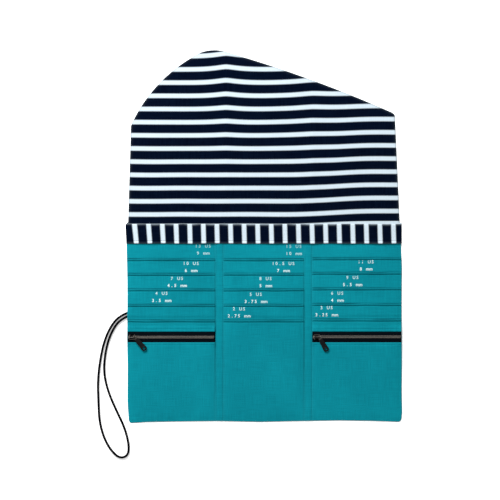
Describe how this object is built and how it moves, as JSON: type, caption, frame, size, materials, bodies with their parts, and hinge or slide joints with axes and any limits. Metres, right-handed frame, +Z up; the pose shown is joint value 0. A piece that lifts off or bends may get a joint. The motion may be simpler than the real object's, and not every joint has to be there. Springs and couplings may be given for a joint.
{
  "type": "knitting needle case",
  "caption": "Open trifold fabric case for interchangeable knitting needle tips, with stepped pocket rows, zip pockets, a striped fold-down flap and an elastic closing loop.",
  "frame": {"origin": "underside of the open case, middle of its width and length without the elastic cord", "axes": "+Z up from the table, +Y towards the flap, +X towards the right panel as seen from above with the flap away"},
  "size_m": [0.3939, 0.5285, 0.0058],
  "materials": {
    "striped_cloth": "navy and white woven cotton stripe",
    "teal_cloth": "teal slubby cotton, topstitched",
    "interlining": "soft non-woven interlining",
    "zip_tape": "black woven zip tape",
    "zip_teeth": "antiqued small teeth",
    "zip_metal": "dark antiqued metal",
    "elastic": "black braided elastic"
  },
  "bodies": {
    "center_panel": {"center_outer_cloth": "striped_cloth", "center_interlining": "interlining", "center_lining": "teal_cloth", "center_tier_1": "teal_cloth", "center_tier_2": "teal_cloth", "center_tier_3": "teal_cloth", "center_tier_4": "teal_cloth", "center_tier_5": "teal_cloth", "center_front_pocket": "teal_cloth", "left_spine_strip": "teal_cloth", "right_spine_strip": "teal_cloth", "center_band": "striped_cloth"},
    "left_panel": {"left_outer_cloth": "striped_cloth", "left_interlining": "interlining", "left_lining": "teal_cloth", "left_tier_1": "teal_cloth", "left_tier_2": "teal_cloth", "left_tier_3": "teal_cloth", "left_tier_4": "teal_cloth", "left_tier_5": "teal_cloth", "left_coil_upper": "zip_teeth", "left_coil_lower": "zip_teeth", "left_tape_upper": "zip_tape", "left_tape_lower": "zip_tape", "left_zip_facing": "teal_cloth", "left_zip_pocket": "teal_cloth", "left_band": "striped_cloth", "elastic_cord": "elastic"},
    "right_panel": {"right_outer_cloth": "striped_cloth", "right_interlining": "interlining", "right_lining": "teal_cloth", "right_tier_1": "teal_cloth", "right_tier_2": "teal_cloth", "right_tier_3": "teal_cloth", "right_tier_4": "teal_cloth", "right_tier_5": "teal_cloth", "right_coil_upper": "zip_teeth", "right_coil_lower": "zip_teeth", "right_tape_upper": "zip_tape", "right_tape_lower": "zip_tape", "right_zip_facing": "teal_cloth", "right_zip_pocket": "teal_cloth", "right_band": "striped_cloth"},
    "flap_center": {"center_flap_backing": "striped_cloth", "center_flap_interlining": "interlining", "center_flap_face": "striped_cloth"},
    "flap_left": {"left_flap_backing": "striped_cloth", "left_flap_interlining": "interlining", "left_flap_face": "striped_cloth"},
    "flap_right": {"right_flap_backing": "striped_cloth", "right_flap_interlining": "interlining", "right_flap_face": "striped_cloth"},
    "left_zip_slider": {"left_slider": "zip_metal"},
    "right_zip_slider": {"right_slider": "zip_metal"},
    "left_pull_tab": {"left_pull": "zip_metal"},
    "right_pull_tab": {"right_pull": "zip_metal"}
  },
  "joints": [
    {"name": "flap_fold", "type": "hinge", "parent": "center_panel", "child": "flap_center", "pos_m": [0, 0.01754, 0.0034], "axis": [1, 0, 0], "range_deg": [0, 180]},
    {"name": "right_fold", "type": "hinge", "parent": "center_panel", "child": "right_panel", "pos_m": [0.05595, 0, 0.00695], "axis": [0, -1, 0], "range_deg": [0, 180]},
    {"name": "left_fold", "type": "hinge", "parent": "center_panel", "child": "left_panel", "pos_m": [-0.05835, 0, 0.0105], "axis": [0, 1, 0], "range_deg": [0, 180]},
    {"name": "flap_fold_left", "type": "hinge", "parent": "left_panel", "child": "flap_left", "pos_m": [-0.12, 0.01754, 0.0034], "axis": [1, 0, 0], "range_deg": [0, 180]},
    {"name": "flap_fold_right", "type": "hinge", "parent": "right_panel", "child": "flap_right", "pos_m": [0.12, 0.01754, 0.0034], "axis": [1, 0, 0], "range_deg": [0, 180]},
    {"name": "left_zip", "type": "slide", "parent": "left_panel", "child": "left_zip_slider", "axis": [1, 0, 0], "range_m": [0, 0.092]},
    {"name": "right_zip", "type": "slide", "parent": "right_panel", "child": "right_zip_slider", "axis": [1, 0, 0], "range_m": [0, 0.092]},
    {"name": "left_pull_flip", "type": "hinge", "parent": "left_zip_slider", "child": "left_pull_tab", "pos_m": [-0.1685, -0.12916, 0.005], "axis": [-1, 0, 0], "range_deg": [0, 180]},
    {"name": "right_pull_flip", "type": "hinge", "parent": "right_zip_slider", "child": "right_pull_tab", "pos_m": [0.0695, -0.12916, 0.005], "axis": [-1, 0, 0], "range_deg": [0, 180]}
  ],
  "couplings": [
    {"joint": "flap_fold_left", "follows": "flap_fold", "ratio": 1},
    {"joint": "flap_fold_right", "follows": "flap_fold", "ratio": 1}
  ]
}
